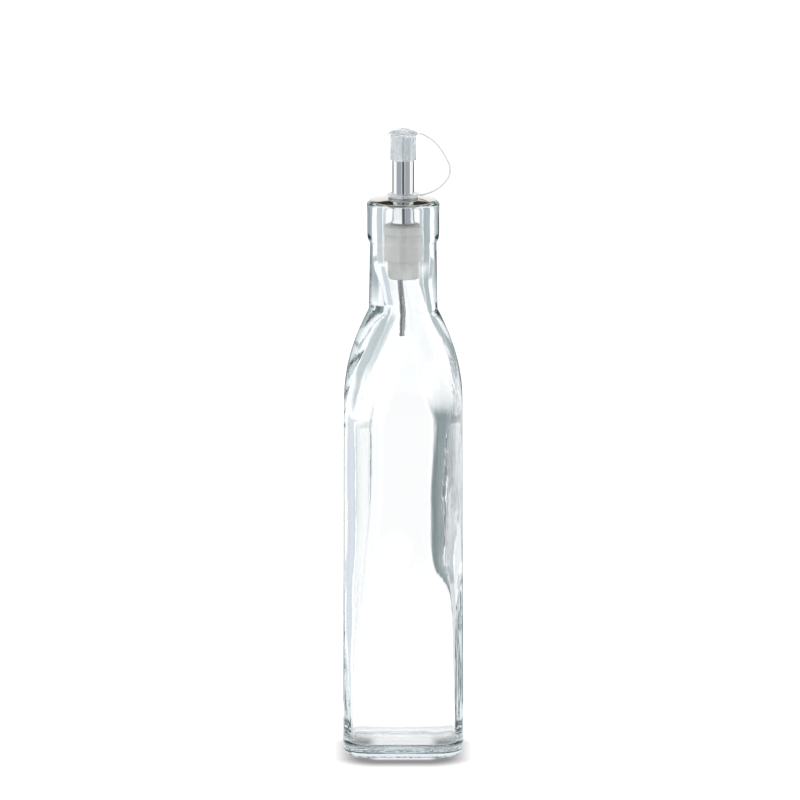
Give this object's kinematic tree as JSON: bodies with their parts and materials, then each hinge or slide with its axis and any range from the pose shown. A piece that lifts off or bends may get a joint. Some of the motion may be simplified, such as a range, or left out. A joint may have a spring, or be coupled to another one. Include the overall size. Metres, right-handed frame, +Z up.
{
  "type": "oil bottle",
  "caption": "Square clear-glass oil bottle with a push-in pourer: ribbed stopper, polished spout with drip disc and vent tube, and a soft cap on a tether.",
  "frame": {"origin": "middle of the base, on the plane that the bottle stands on", "axes": "+Z up along the axis of the bottle and spout; X and Y square to the four flats; the tether bows out towards +X"},
  "size_m": [0.06, 0.06, 0.3133],
  "materials": {
    "glass": "clear, polished, with a faint green tint in thick places",
    "stopper_plastic": "translucent milky plastic, satin",
    "spout_steel": "polished stainless steel",
    "disc_steel": "polished stainless steel",
    "vent_steel": "drawn stainless tube, satin",
    "ring_plastic": "translucent soft plastic, satin",
    "strap_plastic": "translucent soft plastic, satin",
    "cap_plastic": "translucent soft plastic, satin"
  },
  "bodies": {
    "bottle": {"glass_bottle": "glass"},
    "pourer": {"stopper": "stopper_plastic", "spout_tube": "spout_steel", "drip_disc": "disc_steel", "vent_tube": "vent_steel"},
    "tether": {"tether_ring": "ring_plastic", "tether_strap": "strap_plastic"},
    "cap": {"spout_cap": "cap_plastic"}
  },
  "joints": [
    {"name": "pourer_pull", "type": "slide", "parent": "bottle", "child": "pourer", "axis": [0, 0, 1], "range_m": [0, 0.072]},
    {"name": "tether_swivel", "type": "hinge", "parent": "pourer", "child": "tether", "pos_m": [0, 0, 0.2796], "axis": [0, 0, 1], "continuous": true},
    {"name": "cap_pull", "type": "slide", "parent": "tether", "child": "cap", "axis": [0, 0, 1], "range_m": [0, 0.0134], "deforming": ["tether_strap"]}
  ]
}
